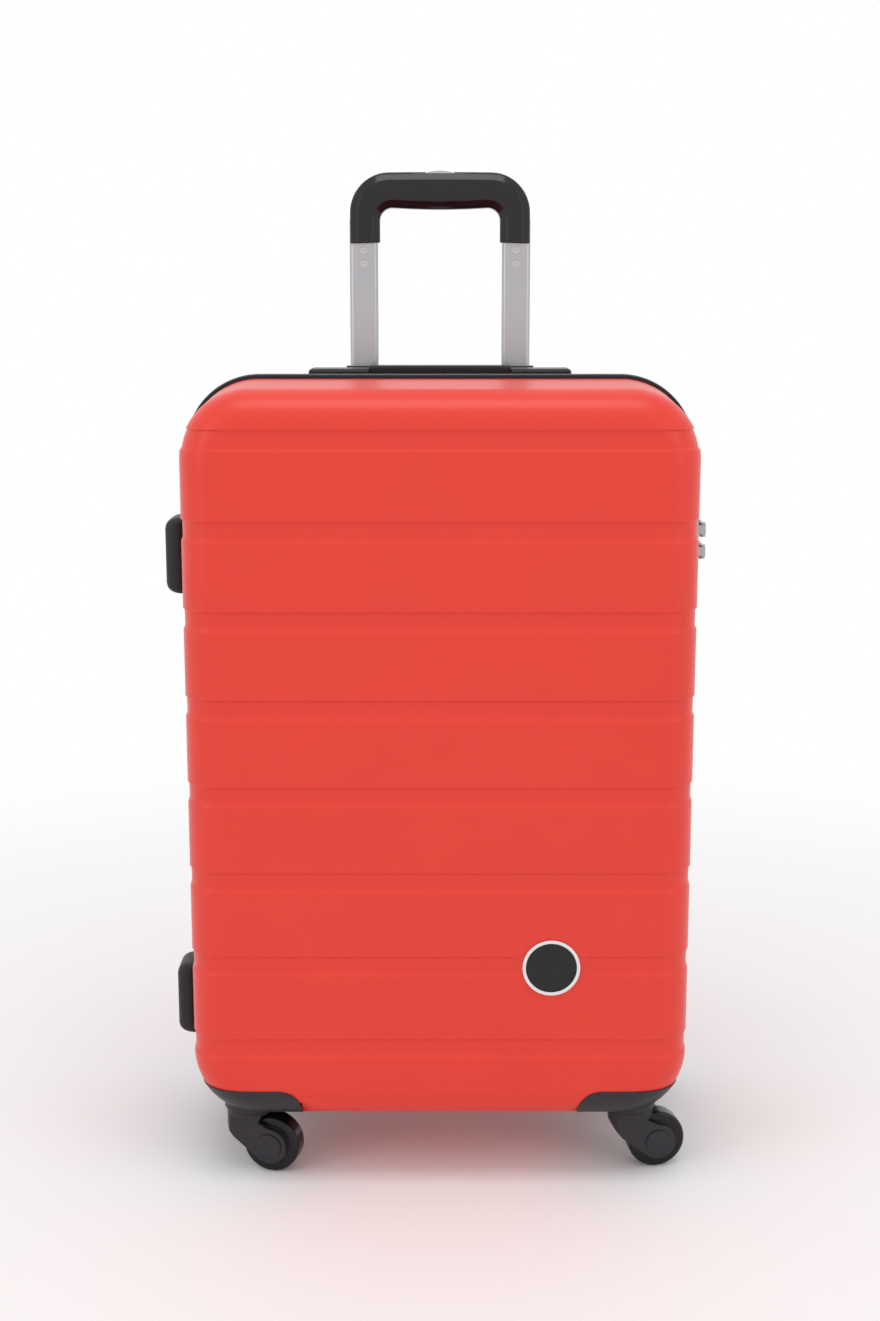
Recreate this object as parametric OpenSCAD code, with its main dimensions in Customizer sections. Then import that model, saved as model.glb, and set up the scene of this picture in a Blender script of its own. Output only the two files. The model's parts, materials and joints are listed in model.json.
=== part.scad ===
// Hard shell suitcase on four swivel casters, with a telescopic trolley handle.
// Origin: on the floor, under the middle of the case. X is across, Y runs to the back, Z is up.

/* [Case] */
// Width of the case at the zip rim
case_w = 428; // [360:1:520]
// Height of the case at the zip rim, without the casters
case_h = 624; // [520:1:760]
// Depth of the closed case
case_d = 250; // [230:1:320]
// Height of the zip rim above the floor
rim_lift = 53.5; // [53:0.5:58]
// Radius of the case corners, seen from the front
corner_r = 61; // [52:1:75]
// Radius between the large faces and the sides
edge_r = 30; // [20:1:36]
// Lean of the sides towards the large faces, in degrees
draft = 2.5; // [1:0.5:4]
// Thickness of the shells
wall = 2.8; // [2:0.1:3.6]
// Thickness of the cloth linings
lining_t = 1.2; // [0.8:0.1:2]

/* [Grooves] */
// Number of grooves pressed across each shell
groove_count = 8; // [4:1:10]
// Height of one groove
groove_h = 17.5; // [10:0.5:24]
// Depth of one groove
groove_depth = 1.4; // [0.6:0.1:1.8]
// From the top of the rim to the first groove
groove_top = 35.7; // [30:0.1:60]
// From the bottom of the rim to the last groove's upper edge
groove_low = 79.3; // [60:0.1:100]

/* [Zip] */
// Half the width of the closed zip
zip_half = 8; // [6:0.5:12]
// How far the zip tape stands out of the rim
tape_proud = 2.5; // [1.5:0.1:3]
// How far the zip teeth stand out of the rim
teeth_proud = 3.4; // [3.1:0.1:4]
// Half the width of the closed row of teeth
teeth_half = 2.4; // [1.5:0.1:3]
// Length of one zip slider
slider_l = 15; // [12:1:18]
// Height where the two sliders meet, above the floor
slider_meet_z = 538.5; // [400:0.5:560]

/* [Trolley] */
// Distance of the tubes' middle from the middle of the case
tube_x = 67.5; // [60:0.5:80]
// Distance of the tubes' middle from the back face
tube_inset = 33; // [30:1:45]
// Width of the inner tubes
tube_w = 25.1; // [22:0.1:28]
// Depth of the inner tubes
tube_d = 13; // [12:0.5:14]
// Wall of every tube
tube_t = 1.4; // [1:0.1:1.6]
// Gap between one tube and the next
tube_gap = 0.35; // [0.3:0.05:0.5]
// Height of the grip's lower ends above the top of the case
grip_rise = 114.5; // [100:0.5:130]
// Height of the grip
grip_h = 60.6; // [56:0.1:75]
// Thickness of the grip's cross bar
grip_bar = 30.6; // [28:0.1:34]
// Depth of the grip
grip_d = 24; // [22:0.5:28]
// Overall width of the grip
grip_w = 158.7; // [150:0.1:190]
// Outer corner radius of the grip
grip_r = 34; // [24:1:36]
// Inner corner radius of the grip
grip_in_r = 11; // [8:1:16]
// How far the inner stage can sink into the case
stow_travel = 106; // [80:1:106]

/* [Carry handle] */
// Length of the carry handle's housing
handle_l = 228; // [210:1:250]
// Width of the carry handle's housing
handle_w = 40; // [36:1:42]
// Distance of the carry handle's middle from the zip
handle_y = 50; // [46:1:52]
// How far the carry handle lifts
handle_travel = 12; // [8:1:12]

/* [Lock] */
// Height of the lock's housing
lock_h = 76; // [70:1:84]
// Width of the lock's housing
lock_w = 38; // [34:1:42]
// How far the lock's face stands out of the rim
lock_proud = 8; // [6:0.5:8.3]
// Radius of one number dial
dial_r = 8.5; // [7:0.1:9]
// Thickness of one number dial
dial_t = 5; // [4:0.1:6]
// Distance from one dial to the next
dial_pitch = 9; // [8:0.5:12]

/* [Casters] */
// Radius of the wheels
wheel_r = 25; // [22:0.5:25]
// Width of the tyres
tyre_w = 18; // [16:0.5:20]
// Distance of the swivel axes from the sides of the rim
swivel_inset = 48.5; // [48:0.5:60]
// Distance of the swivel axes from the large faces
swivel_depth = 42; // [38:1:46]
// Trail of the wheels behind their swivel axes
trail = 22; // [18:0.5:22]
// Radius of the axles
axle_r = 3; // [2.5:0.1:4]
// Radius of the swivel stems
stem_r = 4; // [3:0.1:4.5]

/* [Trim] */
// Radius of the round badge
badge_r = 24; // [20:0.5:28]
// Distance of the badge's middle from the right side of the rim
badge_side = 121.3; // [110:0.1:150]
// How far the side feet stand out of the rim
foot_proud = 15; // [10:0.5:15.5]

/* [Hidden] */
$fn = 64;

red = [0.86, 0.2, 0.16];
charcoal = [0.22, 0.21, 0.23];
black = [0.1, 0.1, 0.11];
silver = [0.78, 0.78, 0.8];
cloth = [0.3, 0.3, 0.33];

half_w = case_w / 2;
half_h = case_h / 2;
half_d = case_d / 2;
mid_z = rim_lift + half_h;
rim_top = rim_lift + case_h;
far = 1000;
eps = 1;
move_gap = 0.3;
run_gap = 0.06;
// Plain band of shell between the zip and what is pressed into or fitted to the sides
rim_band = 4;
// Room between the lining and what it goes round
lining_gap = 4;

// ---- one half of the case: a pan lying on its rim, its depth along local +Z ----

// The edge's arc crosses the side and the face at this small angle
edge_cut = 5;
arc_v = half_d - edge_r * cos(edge_cut);
arc_u = corner_r - arc_v * tan(draft) - edge_r * cos(edge_cut) / cos(draft);

// How far the side stands out from the corner axis, at depth v
function side_u(inset, v) = corner_r - inset / cos(draft) - v * tan(draft);

// Quarter section of the pan, from the corner axis outwards
module edge_section(inset, start) {
    depth = half_d - inset;
    intersection() {
        polygon([[0, start], [side_u(inset, start), start], [side_u(inset, depth), depth], [0, depth]]);
        union() {
            square([arc_u, far]);
            square([far, arc_v]);
            translate([arc_u, arc_v]) circle(edge_r - inset);
        }
    }
}

// Whole section across the pan, reach being the distance to the corner axes
module cross_section(reach, inset, start) {
    translate([-reach, start]) square([2 * reach, half_d - inset - start]);
    translate([reach, 0]) edge_section(inset, start);
    mirror([1, 0]) translate([reach, 0]) edge_section(inset, start);
}

module pan(inset, start) {
    reach_x = half_w - corner_r;
    reach_y = half_h - corner_r;
    rotate([90, 0, 0])
        linear_extrude(2 * reach_y, center = true) cross_section(reach_x, inset, start);
    rotate([90, 0, 90])
        linear_extrude(2 * reach_x, center = true) cross_section(reach_y, inset, start);
    for (turn = [0, 90, 180, 270]) {
        side_x = (turn == 0 || turn == 270) ? 1 : -1;
        side_y = (turn < 180) ? 1 : -1;
        translate([side_x * reach_x, side_y * reach_y, 0])
            rotate(turn) rotate_extrude(angle = 90) edge_section(inset, start);
    }
}

module rim_outline(inset) {
    r = corner_r - inset;
    square([case_w - 2 * inset, case_h - 2 * corner_r], center = true);
    square([case_w - 2 * corner_r, case_h - 2 * inset], center = true);
    for (x = [-1, 1], y = [-1, 1])
        translate([x * (half_w - corner_r), y * (half_h - corner_r)]) circle(r);
}

module rim_ring(outer, inner, from, to) {
    translate([0, 0, from]) linear_extrude(to - from) difference() {
        rim_outline(outer);
        rim_outline(inner);
    }
}

// Stands a pan up as the front half, or as the back half
module front_half() { translate([0, 0, mid_z]) rotate([90, 0, 0]) children(); }
module back_half() { mirror([0, 1, 0]) front_half() children(); }

groove_pitch = (case_h - groove_top - groove_low) / (groove_count - 1);
// Height of a groove's upper edge above the pan's middle
function groove_edge(i) = half_h - groove_top - i * groove_pitch;
badge_groove = groove_count - 2;
badge_x = half_w - badge_side;
badge_y = groove_edge(badge_groove) - groove_h / 2;
badge_clear = badge_r + 6;

module groove_cutter(i) {
    translate([0, groove_edge(i), 0]) rotate([90, 0, 0]) linear_extrude(groove_h) difference() {
        translate([-far / 2, zip_half + rim_band]) square([far, half_d]);
        cross_section(half_w - corner_r, groove_depth, 0);
    }
}

// ---- caster housings: moulded corners that replace the shell's lower corners ----

housing_in = 97;
housing_top = 32.5;
housing_r = 20;
under_z = 62;
housing_back = zip_half + rim_band;
housing_t = 3;
housing_floor = 4;
housing_skin = 0.8;
swivel_x = half_w - swivel_inset;
swivel_y = half_d - swivel_depth;
collar_r = 21.5;
collar_z = 57;
collar_low_r = 20;
collar_low_z = 54.6;
boss_r = 9;
boss_top = 80;

// Front outline of a housing, grown inwards and upwards by grow
module housing_outline(grow) {
    left = half_w - housing_in - grow;
    top = -half_h + housing_top + grow;
    translate([left, -far]) square([far, far + top - housing_r]);
    translate([left + housing_r, -far]) square([far, far + top]);
    translate([left + housing_r, top - housing_r]) circle(housing_r);
}

module housing_zone(grow, from) {
    translate([0, 0, from]) linear_extrude(far) housing_outline(grow);
}

module both_sides() {
    children();
    mirror([1, 0, 0]) children();
}

// The right housing of a half, in the pan's own frame
module housing_body() {
    floor_y = under_z - mid_z;
    difference() {
        intersection() {
            pan(-housing_skin, housing_back);
            housing_zone(0, housing_back);
            translate([0, floor_y, 0]) cube([far, far, far]);
        }
        intersection() {
            pan(wall, housing_back);
            translate([half_w - housing_in + housing_t, floor_y + housing_floor, housing_back + housing_t])
                cube([far, far, far]);
        }
    }
    intersection() {
        pan(0, housing_back);
        housing_zone(0, housing_back);
        translate([0, -far + floor_y + eps, 0]) cube([far, far, far]);
        union() {
            translate([half_w - housing_in, -far, 0]) cube([housing_t, 2 * far, far]);
            translate([0, -far, housing_back]) cube([far, 2 * far, housing_t]);
        }
    }
}

module housing(side) {
    difference() {
        union() {
            mirror([side > 0 ? 0 : 1, 0, 0]) front_half() housing_body();
            translate([side * swivel_x, -swivel_y, 0]) {
                translate([0, 0, collar_z]) cylinder(r = collar_r, h = under_z - collar_z + eps);
                translate([0, 0, collar_low_z]) cylinder(r = collar_low_r, h = under_z - collar_low_z);
                translate([0, 0, under_z]) cylinder(r = boss_r, h = boss_top - under_z);
            }
        }
        translate([side * swivel_x, -swivel_y, 0]) cylinder(r = stem_r, h = boss_top + eps);
    }
}

// ---- one caster, its swivel axis on Z and its wheel trailing along +X ----

fork_top = collar_low_z - move_gap;
fork_disc_r = 19.5;
slot_r = wheel_r + 1;
fork_disc_low = wheel_r + slot_r + 0.2;
cheek_t = 4;
slot_w = tyre_w + 2;
fork_w = slot_w + 2 * cheek_t;
cheek_r = 15.5;
stem_head_r = 5;
stem_head_z = 45.2;
stem_head_top = 47.5;
hub_r = 17;
hub_w = tyre_w - 1;
tyre_shoulder = 3;
cap_r = 11;
cap_t = 1.2;
// Outline of a cheek between its disc and its axle: down the front, then up behind the wheel
cheek_front = [[-19.3, 46], [-16.5, 38.5], [-10, 30.5]];
cheek_behind = [[trail - 2, 41.5], [12, 45.5]];
disc_edge = 16;

module fork_outline() {
    polygon([
        [-fork_disc_r, fork_disc_low + eps],
        each cheek_front,
        [trail - cheek_r * 0.6, wheel_r - cheek_r * 0.8],
        [trail, wheel_r],
        [trail + cheek_r * cos(60), wheel_r + cheek_r * sin(60)],
        each cheek_behind,
        [disc_edge, fork_disc_low + eps]
    ]);
    translate([trail, wheel_r]) circle(cheek_r);
}

module along_axle(width) {
    translate([trail, width / 2, wheel_r]) rotate([90, 0, 0]) linear_extrude(width) children();
}

module fork_shape() {
    difference() {
        union() {
            translate([0, 0, fork_disc_low]) cylinder(r = fork_disc_r, h = fork_top - fork_disc_low);
            intersection() {
                translate([0, fork_w / 2, 0]) rotate([90, 0, 0]) linear_extrude(fork_w) fork_outline();
                union() {
                    cylinder(r = fork_disc_r, h = fork_top);
                    translate([0, -fork_w / 2, 0]) cube([trail + cheek_r + eps, fork_w, fork_top]);
                }
            }
        }
        along_axle(slot_w) circle(slot_r);
        along_axle(fork_w + eps) circle(axle_r);
        cylinder(r = stem_r + run_gap, h = fork_top + eps);
        cylinder(r = stem_head_r + move_gap, h = stem_head_top + move_gap);
    }
}

module hub_shape() {
    along_axle(hub_w) difference() {
        circle(hub_r);
        circle(axle_r + run_gap);
    }
}

module tyre_shape() {
    flat = tyre_w / 2 - tyre_shoulder;
    translate([trail, 0, wheel_r]) rotate([90, 0, 0]) rotate_extrude() {
        translate([hub_r, -tyre_w / 2]) square([wheel_r - hub_r - tyre_shoulder, tyre_w]);
        translate([hub_r, -flat]) square([wheel_r - hub_r, 2 * flat]);
        for (y = [-flat, flat]) translate([wheel_r - tyre_shoulder, y]) circle(tyre_shoulder);
    }
}

module axle_shape() {
    along_axle(fork_w) circle(axle_r);
    for (y = [-fork_w / 2, fork_w / 2 + cap_t])
        translate([trail, y, wheel_r]) rotate([90, 0, 0]) cylinder(r = cap_r, h = cap_t);
}

module stem_shape() {
    translate([0, 0, stem_head_z]) cylinder(r = stem_head_r, h = stem_head_top - stem_head_z);
    translate([0, 0, stem_head_z]) cylinder(r = stem_r, h = boss_top - stem_head_z);
}

// Puts a caster at its corner, turned to where it trails
module at_corner(side, depth, turn) {
    translate([side * swivel_x, depth * swivel_y, 0]) rotate(turn) children();
}
module at_front_left() { at_corner(-1, -1, -15) children(); }
module at_front_right() { at_corner(1, -1, 10) children(); }
module at_back_left() { at_corner(-1, 1, -10) children(); }
module at_back_right() { at_corner(1, 1, 15) children(); }

// ---- places on the back half ----

tube_y = half_d - tube_inset;
middle_w = tube_w + 2 * (tube_t + tube_gap);
middle_d = tube_d + 2 * (tube_t + tube_gap);
outer_w = middle_w + 2 * (tube_t + tube_gap);
outer_d = middle_d + 2 * (tube_t + tube_gap);
tube_round = 4;
sleeve_t = 2;
sleeve_w = outer_w + 2 * sleeve_t;
sleeve_d = outer_d + 2 * sleeve_t;
outer_low = rim_lift + 10.5;
outer_top = rim_top - 5.5;
foot_grip = 12;
bezel_top = rim_top + 2;
bezel_skirt = 12;
bezel_grip = 15;
bezel_side = 4;
bezel_front = 3;
bush_h = 4;
bush_plug = 18;
middle_low = outer_low + 58;
middle_top = bezel_top + 1;
collar_h = 4;
grip_low = rim_top + grip_rise;
grip_top = grip_low + grip_h;
inner_low = middle_low + bush_plug + bush_h + stow_travel + lining_gap;
tube_socket = 20;
inner_top = grip_low + tube_socket;
channel_w = sleeve_w + 2 * lining_gap;
channel_y = tube_y - sleeve_d / 2 - 1;

handle_top = rim_top + 6.5;
handle_low = rim_top - 16.5;
lock_z = slider_meet_z;
lock_y = zip_half + rim_band;
lock_face = half_w + lock_proud;
lock_in = half_w - 10;

// Rounded bar section, lying in X and Y
module oval(w, d, r) {
    square([w - 2 * r, d], center = true);
    square([w, d - 2 * r], center = true);
    for (x = [-1, 1], y = [-1, 1])
        translate([x * (w / 2 - r), y * (d / 2 - r)]) circle(r);
}

module tube_pair(w, d, low, top) {
    for (x = [-tube_x, tube_x])
        translate([x, tube_y, low]) linear_extrude(top - low) difference() {
            oval(w, d, tube_round);
            oval(w - 2 * tube_t, d - 2 * tube_t, tube_round - tube_t);
        }
}

module at_tubes(low) {
    for (x = [-tube_x, tube_x]) translate([x, tube_y, low]) children();
}

// A box from its low corner to its high corner
module span(low, high) { translate(low) cube(high - low); }

// What stands into the back half from outside, grown by grow; the lining goes round it
module back_intrusions(grow) {
    room = lining_gap + grow;
    for (x = [-tube_x, tube_x])
        span([x - channel_w / 2 - grow, channel_y - grow, rim_lift],
             [x + channel_w / 2 + grow, case_d, rim_top]);
    span([-handle_l / 2 - room, handle_y - handle_w / 2 - room, handle_low - room],
         [handle_l / 2 + room, case_d, rim_top + far]);
    span([lock_in - room, 0, lock_z - lock_h / 2 - room],
         [half_w + far, lock_y + lock_w + room, lock_z + lock_h / 2 + room]);
    back_half() both_sides() housing_zone(grow, 0);
}

// ---- shells, linings and zip ----

module shell_half() {
    difference() {
        pan(0, zip_half);
        pan(wall, zip_half - eps);
        both_sides() housing_zone(0, housing_back);
        for (i = [0 : groove_count - 1])
            if (i != badge_groove) groove_cutter(i);
    }
}

module front_shell() {
    color(red) front_half() difference() {
        shell_half();
        difference() {
            groove_cutter(badge_groove);
            translate([badge_x - badge_clear, -half_h, half_d / 2])
                cube([2 * badge_clear, case_h, half_d]);
        }
    }
}

module back_shell() {
    color(red) difference() {
        back_half() difference() {
            shell_half();
            groove_cutter(badge_groove);
        }
        carry_handle_block();
        lock_block();
        at_tubes(outer_top - tube_socket) linear_extrude(2 * tube_socket)
            oval(sleeve_w, sleeve_d, tube_round);
    }
}

module front_lining() {
    color(cloth) front_half() difference() {
        pan(wall, zip_half + 2);
        both_sides() housing_zone(0, 0);
        difference() {
            pan(wall + lining_t, zip_half);
            both_sides() housing_zone(lining_t, 0);
        }
    }
}

module back_lining() {
    color(cloth) difference() {
        back_half() pan(wall, zip_half + 2);
        back_intrusions(0);
        difference() {
            back_half() pan(wall + lining_t, zip_half);
            back_intrusions(lining_t);
        }
    }
}

divider_low = 13;
divider_t = 1.6;
module divider_panel() {
    color(cloth) front_half() intersection() {
        difference() {
            pan(wall + lining_t, divider_low);
            both_sides() housing_zone(lining_t, 0);
        }
        translate([-far / 2, -far / 2, divider_low]) cube([far, far, divider_t]);
    }
}

module zip_tape() { rim_ring(-tape_proud, wall, teeth_half, zip_half); }
module zip_teeth() { rim_ring(-teeth_proud, 0, move_gap / 2, teeth_half); }
module back_zip_tape() { color(black) back_half() zip_tape(); }
module front_zip_tape() { color(black) front_half() zip_tape(); }
module back_zip_teeth() { color(charcoal) back_half() zip_teeth(); }
module front_zip_teeth() { color(charcoal) front_half() zip_teeth(); }

// ---- badge and side feet on the front half ----

badge_rim = 2.7;
badge_proud = 2.2;
badge_recess = 0.8;

module at_badge() {
    front_half() translate([badge_x, badge_y, half_d]) children();
}

module badge_ring() {
    color(silver) at_badge() difference() {
        cylinder(r = badge_r, h = badge_proud);
        translate([0, 0, -eps]) cylinder(r = badge_r - badge_rim, h = badge_proud + 2 * eps);
    }
}

module badge_face() {
    color(black) at_badge() cylinder(r = badge_r - badge_rim, h = badge_proud - badge_recess);
}

foot_from = 22;
foot_to = 62;
foot_h = 64;
foot_r = 8;
upper_foot_z = rim_top - 144.5;
lower_foot_z = rim_lift + 90;

module side_feet() {
    color(charcoal) difference() {
        for (z = [upper_foot_z, lower_foot_z])
            translate([-half_w - foot_proud, -foot_to, z - foot_h / 2]) linear_extrude(foot_h) {
                translate([0, foot_r]) square([foot_proud + 6, foot_to - foot_from - 2 * foot_r]);
                translate([foot_r, 0]) square([foot_proud + 6 - foot_r, foot_to - foot_from]);
                for (y = [foot_r, foot_to - foot_from - foot_r]) translate([foot_r, y]) circle(foot_r);
            }
        front_half() pan(0, 0);
    }
}

// ---- trolley ----

module outer_tubes() { color(silver) tube_pair(outer_w, outer_d, outer_low, outer_top); }
module middle_tubes() { color(silver) tube_pair(middle_w, middle_d, middle_low, middle_top); }

screw_r = 1.8;
screw_head_r = 3.2;
screw_l = 3.2;
screw_drops = [6.5, 18];
module at_screws() {
    for (x = [-tube_x, tube_x], drop = screw_drops)
        translate([x, tube_y - tube_d / 2, grip_low - drop]) rotate([90, 0, 0]) children();
}

module inner_tubes() {
    color(silver) difference() {
        tube_pair(tube_w, tube_d, inner_low, inner_top);
        at_screws() translate([0, 0, -tube_t - eps]) cylinder(r = screw_head_r, h = tube_t + 2 * eps);
    }
}

module tube_feet() {
    color(black) difference() {
        intersection() {
            at_tubes(rim_lift) linear_extrude(outer_low - rim_lift + foot_grip)
                oval(sleeve_w, sleeve_d, tube_round);
            back_half() pan(wall, 0);
        }
        at_tubes(outer_low) linear_extrude(far) oval(outer_w, outer_d, tube_round);
    }
}

module trolley_bezel() {
    bezel_w = 2 * (tube_x + bezel_side) + sleeve_w;
    bezel_d = sleeve_d + 2 * bezel_front;
    color(black) difference() {
        union() {
            difference() {
                translate([0, tube_y, outer_top - bezel_skirt])
                    linear_extrude(bezel_top - outer_top + bezel_skirt) oval(bezel_w, bezel_d, tube_round);
                back_half() pan(0, 0);
            }
            at_tubes(outer_top - bezel_grip) linear_extrude(bezel_grip + bezel_front)
                oval(sleeve_w, sleeve_d, tube_round);
        }
        at_tubes(outer_top - tube_socket) linear_extrude(tube_socket) oval(outer_w, outer_d, tube_round);
        at_tubes(outer_top - eps) linear_extrude(tube_socket)
            oval(middle_w + 2 * tube_gap, middle_d + 2 * tube_gap, tube_round);
    }
}

rod_r = 2.5;
rod_hole_r = 3;
middle_hole_w = 12;
inner_hole_w = 8;
hole_d = 7;
hole_round = 2.9;

// Bush in a tube's lower end, cut through for the push rod
module tube_bush(w, d, hole_w) {
    difference() {
        union() {
            translate([0, 0, -bush_h]) linear_extrude(bush_h) oval(w, d, tube_round);
            linear_extrude(bush_plug) oval(w - 2 * tube_t, d - 2 * tube_t, tube_round - tube_t);
        }
        translate([0, 0, -bush_h - eps]) linear_extrude(far) oval(hole_w, hole_d, hole_round);
    }
}

module middle_tube_bushes() {
    color(black) {
        at_tubes(middle_low) tube_bush(middle_w, middle_d, middle_hole_w);
        at_tubes(middle_top) linear_extrude(collar_h) difference() {
            oval(outer_w, outer_d, tube_round);
            oval(tube_w + 2 * tube_gap, tube_d + 2 * tube_gap, tube_round);
        }
    }
}

module inner_tube_bushes() {
    color(black) at_tubes(inner_low) tube_bush(tube_w, tube_d, inner_hole_w);
}

button_travel = 4;
button_w = 24.4;
button_d = 15;
yoke_t = 4;
yoke_z = grip_top - 20.5;
yoke_d = 8;
yoke_end = 3;
yoke_gap = 0.5;
cavity_w = 2 * tube_x + 10;
plug_low = grip_low - 27;
button_crown = 1.2;
crown_r = 40;
cross_l = 3.8;
cross_w = 0.7;
cross_d = 0.8;

rod_low = inner_low + 6;
grip_ear = 2;

module grip_outline() {
    window_w = 2 * (tube_x - grip_ear) - tube_w;
    window_h = grip_h - grip_bar;
    corner_x = grip_w / 2 - grip_r;
    in_corner_x = window_w / 2 - grip_in_r;
    in_corner_z = window_h - grip_in_r;
    difference() {
        union() {
            translate([-grip_w / 2, 0]) square([grip_w, grip_h - grip_r]);
            translate([-corner_x, 0]) square([2 * corner_x, grip_h]);
            intersection() {
                translate([-far, 0]) square([2 * far, grip_h]);
                for (x = [-1, 1]) translate([x * corner_x, grip_h - grip_r]) circle(grip_r);
            }
        }
        translate([-window_w / 2, -eps]) square([window_w, in_corner_z + eps]);
        translate([-in_corner_x, -eps]) square([2 * in_corner_x, window_h + eps]);
        for (x = [-1, 1]) translate([x * in_corner_x, in_corner_z]) circle(grip_in_r);
    }
}

module trolley_grip() {
    color(black) difference() {
        union() {
            translate([0, tube_y + grip_d / 2, grip_low]) rotate([90, 0, 0])
                linear_extrude(grip_d) grip_outline();
            at_tubes(plug_low) linear_extrude(grip_low - plug_low + eps)
                oval(tube_w - 2 * tube_t, tube_d - 2 * tube_t, tube_round - tube_t);
        }
        tube_pair(tube_w, tube_d, grip_low, inner_top);
        at_tubes(plug_low - eps) cylinder(r = rod_hole_r, h = yoke_z - plug_low);
        span([-cavity_w / 2, tube_y - yoke_d / 2 - yoke_gap, yoke_z - button_travel - yoke_gap],
             [cavity_w / 2, tube_y + yoke_d / 2 + yoke_gap, yoke_z + yoke_t + yoke_gap]);
        translate([0, tube_y, yoke_z + yoke_t - button_travel - yoke_gap]) linear_extrude(far)
            square([button_w + 2 * move_gap, button_d + 2 * move_gap], center = true);
        for (x = [-spring_x, spring_x])
            translate([x, tube_y, yoke_z - spring_room]) cylinder(r = spring_pocket_r, h = spring_room);
        at_screws() translate([0, 0, -screw_l]) cylinder(r = screw_r, h = screw_l);
    }
}

module grip_screws() {
    color(silver) at_screws() difference() {
        union() {
            translate([0, 0, -tube_t]) cylinder(r = screw_head_r, h = tube_t);
            translate([0, 0, -screw_l]) cylinder(r = screw_r, h = screw_l);
        }
        for (turn = [0, 90])
            rotate(turn) translate([-cross_l / 2, -cross_w / 2, -cross_d]) cube([cross_l, cross_w, eps]);
    }
}

module release_button() {
    color(silver) intersection() {
        span([-button_w / 2, tube_y - button_d / 2, yoke_z + yoke_t],
             [button_w / 2, tube_y + button_d / 2, grip_top + 2 * button_crown]);
        translate([0, tube_y + button_d, grip_top + button_crown - crown_r]) rotate([90, 0, 0])
            cylinder(r = crown_r, h = 2 * button_d, $fn = 128);
    }
}

module button_yoke() {
    color(charcoal) {
        span([-tube_x - yoke_end, tube_y - yoke_d / 2, yoke_z],
             [tube_x + yoke_end, tube_y + yoke_d / 2, yoke_z + yoke_t]);
        at_tubes(rod_low) cylinder(r = rod_r, h = yoke_z - rod_low);
    }
}

spring_x = 30;
spring_r = 2.6;
spring_wire = 0.4;
spring_turns = 4;
spring_room = 8;
spring_pocket_r = 3.3;
spring_sides = 6;
spring_steps = 12;
spring_low = yoke_z - spring_room + spring_wire + 0.1;
spring_high = yoke_z - move_gap - spring_wire;

function spring_point(k) = let (
    a = 360 * k / spring_steps,
    z = spring_low + (spring_high - spring_low) * k / (spring_turns * spring_steps)
) [spring_r * cos(a), spring_r * sin(a), z];
function spring_rim(k, s) = let (
    a = 360 * k / spring_steps,
    b = 360 * s / spring_sides
) spring_point(k) + spring_wire * [cos(b) * cos(a), cos(b) * sin(a), sin(b)];

module spring() {
    rings = spring_turns * spring_steps;
    points = [for (k = [0 : rings], s = [0 : spring_sides - 1]) spring_rim(k, s)];
    sides = [for (k = [0 : rings - 1], s = [0 : spring_sides - 1])
        let (t = (s + 1) % spring_sides, a = k * spring_sides, b = a + spring_sides)
        each [[a + s, b + s, b + t], [a + s, b + t, a + t]]];
    ends = [[for (s = [0 : spring_sides - 1]) s],
            [for (s = [spring_sides - 1 : -1 : 0]) rings * spring_sides + s]];
    polyhedron(points, concat(sides, ends));
}

module button_springs() {
    color(silver) for (x = [-spring_x, spring_x]) translate([x, tube_y, 0]) spring();
}

// ---- carry handle ----

cap_from = 62;
handle_wall = 3;
handle_roof = 2;
grip_bar_w = 18;
grip_bar_low = rim_top + 1;
grip_bar_top = handle_top + 2.5;
well_top = rim_top + 0.5;
leg_w = 7;
tongue_l = 13;
tongue_w = 12;
tongue_t = 4;
tongue_top = handle_top - handle_roof - handle_travel - move_gap;
tongue_low = tongue_top - tongue_t;
tongue_gap = 0.5;
grip_reach = cap_from - 0.8;

// The room that the housing takes in the shell
module carry_handle_block() {
    span([-handle_l / 2, handle_y - handle_w / 2, handle_low],
         [handle_l / 2, handle_y + handle_w / 2, rim_top + far]);
}

module carry_handle_housing() {
    end = handle_l / 2;
    side = handle_w / 2;
    slot_side = tongue_w / 2 + tongue_gap;
    color(black) difference() {
        union() {
            span([-end, handle_y - side, handle_low], [end, handle_y + side, well_top]);
            both_sides() span([cap_from, handle_y - side, handle_low], [end, handle_y + side, handle_top]);
        }
        span([-cap_from, handle_y - side + handle_wall, handle_low + handle_wall],
             [cap_from, handle_y + side - handle_wall, rim_top + far]);
        both_sides()
            span([cap_from - eps, handle_y - slot_side, handle_low + handle_wall],
                 [cap_from + tongue_l, handle_y + slot_side, handle_top - handle_roof]);
    }
}

module carry_handle_grip() {
    front = handle_y - tongue_w / 2;
    back = handle_y + tongue_w / 2;
    color(charcoal) {
        span([-grip_reach, handle_y - grip_bar_w / 2, grip_bar_low],
             [grip_reach, handle_y + grip_bar_w / 2, grip_bar_top]);
        both_sides() {
            span([grip_reach - leg_w, front, tongue_low], [grip_reach, back, grip_bar_low]);
            span([grip_reach - eps, front, tongue_low], [grip_reach + tongue_l - eps, back, tongue_top]);
        }
    }
}

// ---- lock ----

dial_inset = 11;
dial_proud = 1.5;
dial_gap = 0.5;
dial_y = lock_y + lock_w - dial_inset;
dial_x = lock_face + dial_proud - dial_r;
shaft_r = 2;
lock_back = 2;
slide_l = 12;
slide_w = 12;
slide_travel = 5;
slide_t = 4;
slide_proud = 2;
slide_rise = 7;
slide_low = lock_z - lock_h / 2 + slide_rise;
slide_high = slide_low + slide_l + slide_travel;

module lock_block() {
    span([lock_in, lock_y, lock_z - lock_h / 2],
         [half_w + far, lock_y + lock_w, lock_z + lock_h / 2]);
}

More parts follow.
